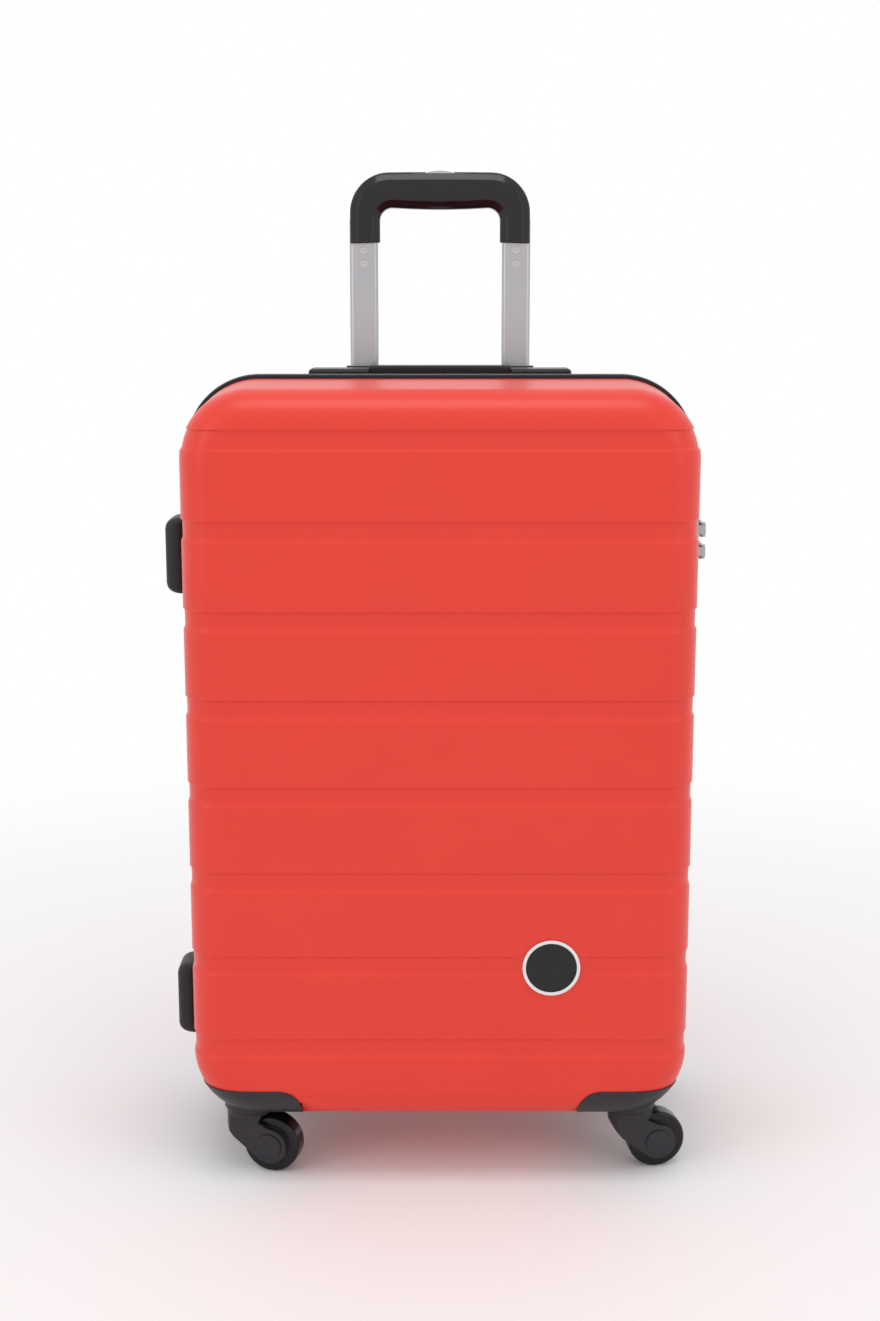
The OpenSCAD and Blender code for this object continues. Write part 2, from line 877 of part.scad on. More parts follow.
module lock_body() {
    color(charcoal) {
        difference() {
            span([lock_in, lock_y, lock_z - lock_h / 2],
                 [lock_face, lock_y + lock_w, lock_z + lock_h / 2]);
            for (z = [lock_z - dial_pitch, lock_z, lock_z + dial_pitch])
                span([lock_in + lock_back, dial_y - dial_r - dial_gap, z - dial_t / 2 - move_gap],
                     [half_w + far, dial_y + dial_r + dial_gap, z + dial_t / 2 + move_gap]);
            span([lock_face - slide_t - move_gap, dial_y - slide_w / 2 - move_gap, slide_low - move_gap],
                 [half_w + far, dial_y + slide_w / 2 + move_gap, slide_high + move_gap]);
        }
        translate([dial_x, dial_y, lock_z - dial_pitch - dial_t])
            cylinder(r = shaft_r, h = 2 * (dial_pitch + dial_t));
    }
}

module lock_dial(i) {
    color(silver) translate([dial_x, dial_y, lock_z + i * dial_pitch - dial_t / 2])
        linear_extrude(dial_t) difference() {
            circle(dial_r);
            circle(shaft_r + run_gap);
        }
}
module lock_dial_upper() { lock_dial(1); }
module lock_dial_middle() { lock_dial(0); }
module lock_dial_lower() { lock_dial(-1); }

module lock_slide() {
    color(silver) span([lock_face - slide_t, dial_y - slide_w / 2, slide_low],
                       [lock_face + slide_proud, dial_y + slide_w / 2, slide_low + slide_l]);
}

// ---- zip sliders and their pull tabs ----

slider_w = 12;
slider_low_x = half_w + teeth_proud + move_gap;
slider_t = 4.8;
bridge_r = 3;
bridge_l = 8;
pivot_x = slider_low_x + slider_t + 4;
pivot_r = 1.2;
tab_ear = 1.8;
tab_l = 24;
tab_t = 2.4;
slider_gap = 4;
ear_r = bridge_r - 0.4;
ring_from = 5;
ear_l = 6;

function slider_z(side) = slider_meet_z + side * (slider_l + slider_gap) / 2;

module zip_slider(side) {
    color(silver) translate([0, 0, slider_z(side)]) difference() {
        union() {
            span([slider_low_x, -slider_w / 2, -slider_l / 2],
                 [slider_low_x + slider_t, slider_w / 2, slider_l / 2]);
            span([slider_low_x + slider_t - eps, -bridge_r, -bridge_l / 2],
                 [pivot_x, bridge_r, bridge_l / 2]);
            translate([pivot_x, 0, -bridge_l / 2]) cylinder(r = bridge_r, h = bridge_l);
        }
        translate([pivot_x, 0, -slider_l]) cylinder(r = pivot_r + run_gap, h = 2 * slider_l);
    }
}

module pull_tab(side) {
    ear_z = bridge_l / 2 + move_gap;
    color(silver) translate([pivot_x, 0, slider_z(side)]) {
        translate([0, 0, -ear_z - tab_ear]) cylinder(r = pivot_r, h = 2 * (ear_z + tab_ear));
        for (z = [-ear_z - tab_ear, ear_z]) {
            translate([0, 0, z]) cylinder(r = ear_r, h = tab_ear);
            span([-tab_t / 2, 0, z], [tab_t / 2, ear_l, z + tab_ear]);
        }
        span([-tab_t / 2, ring_from, -ear_z - tab_ear], [tab_t / 2, tab_l, ear_z + tab_ear]);
    }
}
module upper_zip_slider() { zip_slider(1); }
module lower_zip_slider() { zip_slider(-1); }
module upper_pull_tab() { pull_tab(1); }
module lower_pull_tab() { pull_tab(-1); }

// ---- packing straps in the back half ----

strap_w = 25;
strap_t = 1.4;
strap_y = zip_half + 8;
strap_rise = 135;
strap_angle = atan2(strap_rise, half_w);
buckle_w = 52;
buckle_h = 34;
buckle_t = 9;
buckle_y = strap_y - 3;

module compression_straps() {
    color(black) difference() {
        intersection() {
            back_half() pan(wall + lining_t, 0);
            union() for (side = [-1, 1], rise = [-1, 1])
                translate([0, strap_y, mid_z]) rotate([0, -side * rise * strap_angle, 0])
                    translate([side > 0 ? 0 : -far, 0, -strap_w / 2]) cube([far, strap_t, strap_w]);
        }
        strap_buckle_block();
        back_intrusions(lining_t);
    }
}

module strap_buckle_block() {
    span([-buckle_w / 2, buckle_y, mid_z - buckle_h / 2],
         [buckle_w / 2, buckle_y + buckle_t, mid_z + buckle_h / 2]);
}

module strap_buckle() { color(charcoal) strap_buckle_block(); }

// ---- casters ----

module front_swivel_stems() {
    color(silver) {
        at_front_left() stem_shape();
        at_front_right() stem_shape();
    }
}
module back_swivel_stems() {
    color(silver) {
        at_back_left() stem_shape();
        at_back_right() stem_shape();
    }
}
module front_left_housing() { color(charcoal) housing(-1); }
module front_right_housing() { color(charcoal) housing(1); }
module back_left_housing() { color(charcoal) mirror([0, 1, 0]) housing(-1); }
module back_right_housing() { color(charcoal) mirror([0, 1, 0]) housing(1); }
module front_left_fork() { color(charcoal) at_front_left() fork_shape(); }
module front_right_fork() { color(charcoal) at_front_right() fork_shape(); }
module back_left_fork() { color(charcoal) at_back_left() fork_shape(); }
module back_right_fork() { color(charcoal) at_back_right() fork_shape(); }
module front_left_hub() { color(charcoal) at_front_left() hub_shape(); }
module front_right_hub() { color(charcoal) at_front_right() hub_shape(); }
module back_left_hub() { color(charcoal) at_back_left() hub_shape(); }
module back_right_hub() { color(charcoal) at_back_right() hub_shape(); }
module front_left_tyre() { color(black) at_front_left() tyre_shape(); }
module front_right_tyre() { color(black) at_front_right() tyre_shape(); }
module back_left_tyre() { color(black) at_back_left() tyre_shape(); }
module back_right_tyre() { color(black) at_back_right() tyre_shape(); }
module front_left_axle() { color(charcoal) at_front_left() axle_shape(); }
module front_right_axle() { color(charcoal) at_front_right() axle_shape(); }
module back_left_axle() { color(charcoal) at_back_left() axle_shape(); }
module back_right_axle() { color(charcoal) at_back_right() axle_shape(); }

back_shell();
front_shell();
back_lining();
front_lining();
divider_panel();
back_zip_tape();
front_zip_tape();
back_zip_teeth();
front_zip_teeth();
badge_ring();
badge_face();
side_feet();
outer_tubes();
tube_feet();
trolley_bezel();
middle_tubes();
middle_tube_bushes();
inner_tubes();
inner_tube_bushes();
trolley_grip();
grip_screws();
release_button();
button_yoke();
button_springs();
carry_handle_housing();
carry_handle_grip();
lock_body();
lock_dial_upper();
lock_dial_middle();
lock_dial_lower();
lock_slide();
upper_zip_slider();
lower_zip_slider();
upper_pull_tab();
lower_pull_tab();
compression_straps();
strap_buckle();
front_swivel_stems();
back_swivel_stems();
front_left_housing();
front_right_housing();
back_left_housing();
back_right_housing();
front_left_fork();
front_right_fork();
back_left_fork();
back_right_fork();
front_left_hub();
front_right_hub();
back_left_hub();
back_right_hub();
front_left_tyre();
front_right_tyre();
back_left_tyre();
back_right_tyre();
front_left_axle();
front_right_axle();
back_left_axle();
back_right_axle();
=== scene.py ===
# A red hard shell suitcase with eight pressed grooves, a raised trolley grip and four casters
import math
import json
import bpy
import bmesh
import numpy as np
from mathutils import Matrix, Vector, noise

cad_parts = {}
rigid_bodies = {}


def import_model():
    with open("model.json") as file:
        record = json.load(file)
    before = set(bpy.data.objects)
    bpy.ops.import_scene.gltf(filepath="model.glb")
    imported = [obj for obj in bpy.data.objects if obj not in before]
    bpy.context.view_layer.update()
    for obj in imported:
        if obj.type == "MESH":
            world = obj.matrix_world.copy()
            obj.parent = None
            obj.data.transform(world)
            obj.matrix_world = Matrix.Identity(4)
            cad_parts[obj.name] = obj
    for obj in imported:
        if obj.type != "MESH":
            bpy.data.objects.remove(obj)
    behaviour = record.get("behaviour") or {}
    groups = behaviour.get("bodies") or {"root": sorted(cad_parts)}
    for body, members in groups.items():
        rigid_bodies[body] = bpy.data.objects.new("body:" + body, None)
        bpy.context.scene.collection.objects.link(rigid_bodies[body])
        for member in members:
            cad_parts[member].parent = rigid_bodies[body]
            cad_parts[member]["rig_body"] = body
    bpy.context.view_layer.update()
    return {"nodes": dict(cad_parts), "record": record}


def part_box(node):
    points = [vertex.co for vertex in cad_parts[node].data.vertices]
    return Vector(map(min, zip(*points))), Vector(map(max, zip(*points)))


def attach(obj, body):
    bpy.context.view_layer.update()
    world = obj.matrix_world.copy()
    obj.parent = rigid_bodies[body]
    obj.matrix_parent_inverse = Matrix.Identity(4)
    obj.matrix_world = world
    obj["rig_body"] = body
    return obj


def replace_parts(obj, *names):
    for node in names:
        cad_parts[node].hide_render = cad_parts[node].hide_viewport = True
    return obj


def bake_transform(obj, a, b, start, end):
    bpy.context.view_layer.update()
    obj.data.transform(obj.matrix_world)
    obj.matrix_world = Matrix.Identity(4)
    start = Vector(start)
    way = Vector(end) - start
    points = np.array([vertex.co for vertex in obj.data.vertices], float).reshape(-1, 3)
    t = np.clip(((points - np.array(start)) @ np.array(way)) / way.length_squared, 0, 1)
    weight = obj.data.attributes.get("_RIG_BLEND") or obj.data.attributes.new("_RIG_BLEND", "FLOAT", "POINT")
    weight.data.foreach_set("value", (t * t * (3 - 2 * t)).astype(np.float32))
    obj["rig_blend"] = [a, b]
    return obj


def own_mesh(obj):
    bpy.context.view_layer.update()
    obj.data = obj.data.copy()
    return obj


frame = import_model()
record = frame["record"]
nodes = frame["nodes"]
slotOf = {part["node"]: part["material_slot"] for part in record["subparts"]}
scene = bpy.context.scene
print("frame loaded, %d nodes" % len(nodes))

# ---- camera, floor and light ----
cameraData = bpy.data.cameras.new("camera")
cameraData.sensor_fit = "VERTICAL"
cameraData.sensor_height = 36
cameraData.lens = 50.1
camera = bpy.data.objects.new("camera", cameraData)
camera.location = (0, -1.579, 0.742)
camera.rotation_euler = (math.radians(78.92), 0, 0)
scene.collection.objects.link(camera)
scene.camera = camera
scene.view_settings.view_transform = "Standard"


def areaLight(name, place, aim, size, power):
    data = bpy.data.lights.new(name, "AREA")
    data.shape, data.size, data.size_y, data.energy = "RECTANGLE", size[0], size[1], power
    lamp = bpy.data.objects.new(name, data)
    lamp.location = place
    lamp.rotation_euler = (Vector(aim) - Vector(place)).to_track_quat("-Z", "Y").to_euler()
    scene.collection.objects.link(lamp)


areaLight("overhead", (0, -0.7, 2.6), (0, 0, 0.3), (1.6, 0.9), 12)
areaLight("left_box", (-1.9, -1.5, 1.2), (0, 0, 0.4), (0.5, 1.7), 4)
areaLight("right_box", (1.9, -1.5, 1.2), (0, 0, 0.4), (0.5, 1.7), 3)

world = bpy.data.worlds.new("studio")
scene.world = world
world.use_nodes = True
worldTree = world.node_tree
worldTree.nodes.clear()
rays = worldTree.nodes.new("ShaderNodeLightPath")
seenOrShiny = worldTree.nodes.new("ShaderNodeMath")
seenOrShiny.operation = "MAXIMUM"
seenAtAll = worldTree.nodes.new("ShaderNodeMath")
seenAtAll.operation = "MAXIMUM"
worldTree.links.new(rays.outputs["Is Camera Ray"], seenOrShiny.inputs[0])
worldTree.links.new(rays.outputs["Is Glossy Ray"], seenOrShiny.inputs[1])
worldTree.links.new(seenOrShiny.outputs[0], seenAtAll.inputs[0])
worldTree.links.new(rays.outputs["Is Transmission Ray"], seenAtAll.inputs[1])
soft = worldTree.nodes.new("ShaderNodeBackground")
soft.inputs["Color"].default_value = (1, 1, 1, 1)
soft.inputs["Strength"].default_value = 0.86
white = worldTree.nodes.new("ShaderNodeBackground")
white.inputs["Color"].default_value = (1, 1, 1, 1)
pick = worldTree.nodes.new("ShaderNodeMixShader")
worldTree.links.new(seenAtAll.outputs[0], pick.inputs[0])
worldTree.links.new(soft.outputs[0], pick.inputs[1])
worldTree.links.new(white.outputs[0], pick.inputs[2])
worldOut = worldTree.nodes.new("ShaderNodeOutputWorld")
worldTree.links.new(pick.outputs[0], worldOut.inputs["Surface"])


# ---- shader groups shared by the materials ----
def newGroup(name, inputs, outputs):
    group = bpy.data.node_groups.new(name, "ShaderNodeTree")
    for label, kind, value in inputs:
        socket = group.interface.new_socket(label, in_out="INPUT", socket_type=kind)
        socket.default_value = value
    for label, kind in outputs:
        group.interface.new_socket(label, in_out="OUTPUT", socket_type=kind)
    return group, group.nodes.new("NodeGroupInput"), group.nodes.new("NodeGroupOutput")


def mathNode(tree, kind, a, b):
    made = tree.nodes.new("ShaderNodeMath")
    made.operation = kind
    for slotIndex, value in enumerate((a, b)):
        if isinstance(value, (int, float)):
            made.inputs[slotIndex].default_value = value
        else:
            tree.links.new(value, made.inputs[slotIndex])
    return made.outputs[0]


# pebble grain: cells broken up by noise
grainGroup, gIn, gOut = newGroup(
    "pebble_grain", [("Size", "NodeSocketFloat", 900.0)], [("Height", "NodeSocketFloat")])
coords = grainGroup.nodes.new("ShaderNodeTexCoord")
cells = grainGroup.nodes.new("ShaderNodeTexVoronoi")
fuzz = grainGroup.nodes.new("ShaderNodeTexNoise")
fuzz.inputs["Detail"].default_value = 3
grainGroup.links.new(coords.outputs["Object"], cells.inputs["Vector"])
grainGroup.links.new(coords.outputs["Object"], fuzz.inputs["Vector"])
grainGroup.links.new(gIn.outputs["Size"], cells.inputs["Scale"])
grainGroup.links.new(gIn.outputs["Size"], fuzz.inputs["Scale"])
grainGroup.links.new(mathNode(grainGroup, "ADD", cells.outputs["Distance"], fuzz.outputs[0]), gOut.inputs["Height"])

# wear: the colour and the shine drift a little over the piece
wearGroup, wIn, wOut = newGroup(
    "handled_wear",
    [("Color", "NodeSocketColor", (0.5, 0.5, 0.5, 1)),
     ("Roughness", "NodeSocketFloat", 0.4),
     ("Amount", "NodeSocketFloat", 0.08)],
    [("Color", "NodeSocketColor"), ("Roughness", "NodeSocketFloat")])
coords = wearGroup.nodes.new("ShaderNodeTexCoord")
patches = wearGroup.nodes.new("ShaderNodeTexNoise")
patches.inputs["Scale"].default_value = 14
patches.inputs["Detail"].default_value = 6
wearGroup.links.new(coords.outputs["Object"], patches.inputs["Vector"])
drift = mathNode(wearGroup, "MULTIPLY", mathNode(wearGroup, "SUBTRACT", patches.outputs[0], 0.5), wIn.outputs["Amount"])
tint = wearGroup.nodes.new("ShaderNodeHueSaturation")
wearGroup.links.new(wIn.outputs["Color"], tint.inputs["Color"])
wearGroup.links.new(mathNode(wearGroup, "ADD", drift, 1.0), tint.inputs["Value"])
wearGroup.links.new(tint.outputs["Color"], wOut.inputs["Color"])
wearGroup.links.new(mathNode(wearGroup, "ADD", wIn.outputs["Roughness"], drift), wOut.inputs["Roughness"])

# cloth: threads crossing under and over
weaveGroup, vIn, vOut = newGroup(
    "woven_threads", [("Threads", "NodeSocketFloat", 400.0)], [("Height", "NodeSocketFloat")])
coords = weaveGroup.nodes.new("ShaderNodeTexCoord")
crossed = []
for axis in ("X", "Z"):
    band = weaveGroup.nodes.new("ShaderNodeTexWave")
    band.bands_direction = axis
    band.inputs["Distortion"].default_value = 1.2
    weaveGroup.links.new(coords.outputs["Object"], band.inputs["Vector"])
    weaveGroup.links.new(vIn.outputs["Threads"], band.inputs["Scale"])
    crossed.append(band.outputs["Fac"])
weaveGroup.links.new(mathNode(weaveGroup, "MAXIMUM", crossed[0], crossed[1]), vOut.inputs["Height"])

# brushed metal: fine streaks running up the part
streakGroup, sIn, sOut = newGroup(
    "drawn_streaks", [("Fineness", "NodeSocketFloat", 1500.0)], [("Height", "NodeSocketFloat")])
coords = streakGroup.nodes.new("ShaderNodeTexCoord")
stretch = streakGroup.nodes.new("ShaderNodeMapping")
stretch.inputs["Scale"].default_value = (1, 1, 0.02)
lines = streakGroup.nodes.new("ShaderNodeTexNoise")
streakGroup.links.new(coords.outputs["Object"], stretch.inputs["Vector"])
streakGroup.links.new(stretch.outputs[0], lines.inputs["Vector"])
streakGroup.links.new(sIn.outputs["Fineness"], lines.inputs["Scale"])
streakGroup.links.new(lines.outputs[0], sOut.inputs["Height"])


def finish(name, color, roughness, surface, size, depth, metal=0.0, coat=0.0, amount=0.1, edge=0.0, shine=0.5):
    mat = bpy.data.materials.new(name)
    mat.use_nodes = True
    tree = mat.node_tree
    shader = tree.nodes["Principled BSDF"]
    shader.inputs["Metallic"].default_value = metal
    shader.inputs["Coat Weight"].default_value = coat
    shader.inputs["Coat Roughness"].default_value = 0.12
    shader.inputs["Specular IOR Level"].default_value = shine
    wear = tree.nodes.new("ShaderNodeGroup")
    wear.node_tree = wearGroup
    wear.inputs["Color"].default_value = (*color, 1)
    wear.inputs["Roughness"].default_value = roughness
    wear.inputs["Amount"].default_value = amount
    tree.links.new(wear.outputs["Color"], shader.inputs["Base Color"])
    tree.links.new(wear.outputs["Roughness"], shader.inputs["Roughness"])
    texture = tree.nodes.new("ShaderNodeGroup")
    texture.node_tree = surface
    texture.inputs[0].default_value = size
    bump = tree.nodes.new("ShaderNodeBump")
    bump.inputs["Strength"].default_value = 0.5
    bump.inputs["Distance"].default_value = depth
    tree.links.new(texture.outputs["Height"], bump.inputs["Height"])
    if edge:
        rounded = tree.nodes.new("ShaderNodeBevel")
        rounded.inputs["Radius"].default_value = edge
        tree.links.new(rounded.outputs["Normal"], bump.inputs["Normal"])
    tree.links.new(bump.outputs["Normal"], shader.inputs["Normal"])
    return mat


finishes = {
    "shell_red": finish("shell_red", (0.76, 0.040, 0.022), 0.34, grainGroup, 1300, 0.00006, amount=0.06, shine=0.42),
    "lining_cloth": finish("lining_cloth", (0.06, 0.06, 0.07), 0.85, weaveGroup, 320, 0.0004),
    "divider_mesh": finish("divider_mesh", (0.03, 0.03, 0.035), 0.8, weaveGroup, 160, 0.0006),
    "zip_tape_black": finish("zip_tape_black", (0.012, 0.01, 0.014), 0.72, weaveGroup, 420, 0.0003),
    "zip_teeth_grey": finish("zip_teeth_grey", (0.16, 0.15, 0.18), 0.38, grainGroup, 700, 0.0002),
    "bright_chrome": finish("bright_chrome", (0.78, 0.77, 0.78), 0.14, streakGroup, 1500, 0.00002, metal=1, edge=0.0005),
    "badge_black": finish("badge_black", (0.005, 0.005, 0.006), 0.2, grainGroup, 900, 0.00002, coat=0.2, shine=0.3),
    "charcoal_plastic": finish("charcoal_plastic", (0.013, 0.013, 0.016), 0.45, grainGroup, 1200, 0.00008, edge=0.0008, shine=0.35),
    "tube_satin": finish("tube_satin", (0.46, 0.45, 0.47), 0.3, streakGroup, 1500, 0.00004, metal=1, edge=0.0008),
    "guide_plastic": finish("guide_plastic", (0.009, 0.009, 0.01), 0.5, grainGroup, 1200, 0.00006, edge=0.0006, shine=0.35),
    "handle_gloss": finish("handle_gloss", (0.008, 0.006, 0.010), 0.16, grainGroup, 500, 0.00001, coat=0.15, amount=0.05, shine=0.32),
    "screw_steel": finish("screw_steel", (0.55, 0.54, 0.53), 0.25, streakGroup, 1500, 0.00003, metal=1, edge=0.0003),
    "button_grey": finish("button_grey", (0.52, 0.51, 0.53), 0.3, grainGroup, 900, 0.00003, coat=0.3, edge=0.0008),
    "handle_black": finish("handle_black", (0.007, 0.007, 0.009), 0.33, grainGroup, 1100, 0.00005, edge=0.0016, shine=0.32),
    "dial_plastic": finish("dial_plastic", (0.3, 0.3, 0.31), 0.4, grainGroup, 900, 0.00004, edge=0.0004),
    "zip_metal": finish("zip_metal", (0.4, 0.39, 0.4), 0.28, grainGroup, 600, 0.00003, metal=1, edge=0.0006),
    "strap_webbing": finish("strap_webbing", (0.02, 0.02, 0.022), 0.8, weaveGroup, 260, 0.0005),
    "caster_grey": finish("caster_grey", (0.026, 0.024, 0.029), 0.36, grainGroup, 1300, 0.00005, edge=0.0014, shine=0.32),
    "tyre_black": finish("tyre_black", (0.006, 0.005, 0.006), 0.24, grainGroup, 700, 0.00004, coat=0.08, shine=0.3),
}
for name, node in nodes.items():
    node.data.materials.clear()
    node.data.materials.append(finishes[slotOf[name]])
print("finishes on the CAD pieces")

floorMat = finish("floor_paper", (0.93, 0.93, 0.94), 0.75, grainGroup, 60, 0.00005, amount=0.01, shine=0.1)
floorTree = floorMat.node_tree
place = floorTree.nodes.new("ShaderNodeTexCoord")
away = floorTree.nodes.new("ShaderNodeVectorMath")
away.operation = "LENGTH"
fade = floorTree.nodes.new("ShaderNodeMapRange")
fade.interpolation_type = "SMOOTHSTEP"
fade.inputs["From Min"].default_value = 0.55
fade.inputs["From Max"].default_value = 1.5
fade.inputs["To Min"].default_value = 1
fade.inputs["To Max"].default_value = 0
floorTree.links.new(place.outputs["Object"], away.inputs[0])
floorTree.links.new(away.outputs["Value"], fade.inputs["Value"])
floorTree.links.new(fade.outputs["Result"], floorTree.nodes["Principled BSDF"].inputs["Alpha"])
bpy.ops.mesh.primitive_plane_add(size=60)
floor = bpy.context.object
floor.name = "floor"
floor.data.materials.append(floorMat)


def newPiece(name, points, faces, slotName, body, smooth=True):
    mesh = bpy.data.meshes.new(name)
    mesh.from_pydata(points, [], faces)
    made = bmesh.new()
    made.from_mesh(mesh)
    bmesh.ops.remove_doubles(made, verts=made.verts, dist=0.00001)
    bmesh.ops.recalc_face_normals(made, faces=made.faces)
    made.to_mesh(mesh)
    made.free()
    mesh.validate()
    piece = bpy.data.objects.new(name, mesh)
    scene.collection.objects.link(piece)
    mesh.materials.append(finishes[slotName])
    if smooth:
        mesh.shade_smooth()
    if body:
        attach(piece, body)
    return piece


def apply(piece, kind, **settings):
    added = piece.modifiers.new(kind.lower(), kind)
    for key, value in settings.items():
        setattr(added, key, value)
    bpy.context.view_layer.objects.active = piece
    bpy.ops.object.modifier_apply(modifier=added.name)


# ---- the two shells ----
shell = {"halfWidth": 0.214, "halfHeight": 0.312, "halfDepth": 0.125, "corner": 0.061, "edge": 0.030,
         "lean": math.tan(math.radians(2.5)), "rim": 0.008, "wall": 0.0028, "middle": 0.3655,
         "grooveTop": 0.0357, "grooveStep": 0.072714, "grooveHeight": 0.0175, "grooveDepth": 0.0014}
cut = math.cos(math.radians(5))
arcV = shell["halfDepth"] - shell["edge"] * cut
arcU = shell["corner"] - arcV * shell["lean"] - shell["edge"] * cut / math.cos(math.radians(2.5))
reachX = shell["halfWidth"] - shell["corner"]
reachZ = shell["halfHeight"] - shell["corner"]


def cornerReach(v, inset):
    side = shell["corner"] - inset - v * shell["lean"]
    r = shell["edge"] - inset
    if v <= arcV:
        return side
    return min(side, arcU + math.sqrt(max(r * r - (v - arcV) ** 2, 0)))


def sliceDepth(dz, inset):
    r = shell["edge"] - inset
    top = shell["halfDepth"] - inset
    if dz <= cornerReach(top, inset):
        return top
    if dz < cornerReach(arcV, inset):
        return min(top, arcV + math.sqrt(max(r * r - (dz - arcU) ** 2, 0)))
    return max(shell["rim"], (shell["corner"] - inset - dz) / shell["lean"])


sideSteps = [0, 0.045, 0.07, 0.28, 0.47, 0.66, 0.74, 0.79, 0.84, 0.88, 0.915, 0.945, 0.965, 0.98, 0.99, 0.996, 1]
faceColumns = [-0.1465, -0.139, -0.128, -0.117, -0.104, -0.09, -0.0765, -0.0635, -0.05, -0.03, 0, 0.03, 0.05, 0.0615,
               0.0627, 0.0635, 0.0765, 0.0927, 0.107, 0.1217, 0.1227, 0.1235, 0.128, 0.139, 0.1465]
faceColumns = sorted(faceColumns + [0.117, 0.0515, -0.0515, 0.0835, -0.0835])


def sliceRow(z, inset):
    dz = max(abs(z - shell["middle"]) - reachZ, 0)
    top = sliceDepth(dz, inset)
    edgeX, depths = [], []
    for step in sideSteps:
        v = shell["rim"] + (top - shell["rim"]) * step
        edgeX.append(reachX + math.sqrt(max(cornerReach(v, inset) ** 2 - dz * dz, 0)))
        depths.append(v)
    left = [(-x, v) for x, v in zip(edgeX, depths)]
    face = [(x, top) for x in faceColumns]
    right = [(x, v) for x, v in zip(reversed(edgeX), reversed(depths))]
    return np.array(left + face + right)


def grooveInset(z):
    for i in range(8):
        drop = shell["middle"] + shell["halfHeight"] - shell["grooveTop"] - i * shell["grooveStep"] - z
        if -0.0016 < drop < shell["grooveHeight"] + 0.0005:
            down = np.interp(drop, [-0.0016, -0.0006, 0.0001, 0.0008, 0.0146, 0.0170, 0.0180],
                             [0, -0.00015, 0.0001, 0.00125, shell["grooveDepth"], 0.00012, 0])
            return i, float(down)
    return -1, 0.0


levels = set(np.linspace(shell["middle"] - reachZ, shell["middle"] + reachZ, 70))
for i in range(8):
    upper = shell["middle"] + shell["halfHeight"] - shell["grooveTop"] - i * shell["grooveStep"]
    for drop in (-0.0022, -0.0016, -0.0011, -0.0006, -0.0002, 0.0001, 0.0004, 0.0008, 0.0014, 0.004, 0.008, 0.0118,
                 0.0128, 0.0140, 0.0155, 0.0168, 0.0174, 0.0180, 0.0188):
        levels.add(upper - drop)
for sign in (-1, 1):
    wallDepths = (0.103, 0.094, 0.081, 0.0685, 0.062, 0.05, 0.04, 0.0315, 0.02, 0.012, 0.008)
    for dz in list(np.linspace(0, 0.056, 22)) + [cornerReach(v, 0) for v in wallDepths]:
        levels.add(shell["middle"] + sign * (reachZ + dz))
levels.update([0.062, 0.066, 0.086, 0.5025, 0.5745])
levels = sorted(levels)
levels = [z for k, z in enumerate(levels) if k == 0 or z - levels[k - 1] > 0.00012]


def shellPiece(name, body, front):
    rows = []
    side = -1 if front else 1
    for z in levels:
        i, inset = grooveInset(z)
        flat = sliceRow(z, 0.0)
        row = flat if i < 0 else sliceRow(z, inset)
        if front and i == 6:
            gap = np.clip(np.interp(np.abs(row[:, 0] - 0.0927), [0.0292, 0.0302], [0, 1]), 0, 1)
            gap[row[:, 1] < 0.12] = 1
            row = flat + (row - flat) * gap[:, None]
        rows.append([(x, side * v, z) for x, v in row])
    across = len(rows[0])
    points = [p for row in rows for p in row]
    faces = []
    for k in range(len(rows) - 1):
        for j in range(across - 1):
            ids = (k * across + j, k * across + j + 1, (k + 1) * across + j + 1, (k + 1) * across + j)
            x, y, z = (sum(points[n][axis] for n in ids) / 4 for axis in range(3))
            v = abs(y)
            under = abs(x) - 0.117
            if under > 0 and v > 0.012 and z < 0.086:
                cornered = under < 0.0215 and z > 0.0645 and math.hypot(0.0215 - under, z - 0.0645) > 0.0195
                if z < 0.066 or (under > 0.0015 and z < 0.0845 and not cornered):
                    continue
            if not front and abs(x) < 0.0635 and 0.0315 < v < 0.0685 and z > 0.6:
                continue
            if not front and 0.0515 < abs(x) < 0.0835 and 0.081 < v < 0.103 and z > 0.6:
                continue
            if not front and x > 0.2 and 0.014 < v < 0.048 and 0.5025 < z < 0.5745:
                continue
            faces.append(ids)
    piece = newPiece(name, points, faces, "shell_red", None)
    apply(piece, "SOLIDIFY", thickness=shell["wall"] * 0.46, offset=-1)
    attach(piece, body)
    return piece


frontShell = shellPiece("front_shell_pressed", "front_half", True)
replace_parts(frontShell, "front_shell")
backShell = shellPiece("back_shell_pressed", "back_half", False)
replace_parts(backShell, "back_shell")
print("shells made, %d levels" % len(levels))


# ---- trolley grip: an eight sided arch, scooped for the thumb ----
gripLow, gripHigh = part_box("trolley_grip")
grip = {"legBottom": 0.792, "outerRadius": 0.034, "innerRadius": 0.011, "barLow": 0.822, "innerHalf": 0.05295,
        "bevelAcross": 0.0072, "bevelDeep": 0.0048, "sag": 0.0014}
halfGrip = gripHigh.x
middleY = (gripLow.y + gripHigh.y) / 2
halfDeep = (gripHigh.y - gripLow.y) / 2


def archPoints(half, top, radius, turns):
    points = [(-half, grip["legBottom"]), (-half, grip["legBottom"] + 0.006)]
    for k in range(turns + 1):
        a = math.pi - math.pi / 2 * k / turns
        points.append((-half + radius + radius * math.cos(a), top - radius + radius * math.sin(a)))
    for f in (0.2, 0.4):
        points.append((-(half - radius) * (1 - 2 * f), top))
    points.append((0, top))
    return points + [(-x, z) for x, z in reversed(points[:-1])]


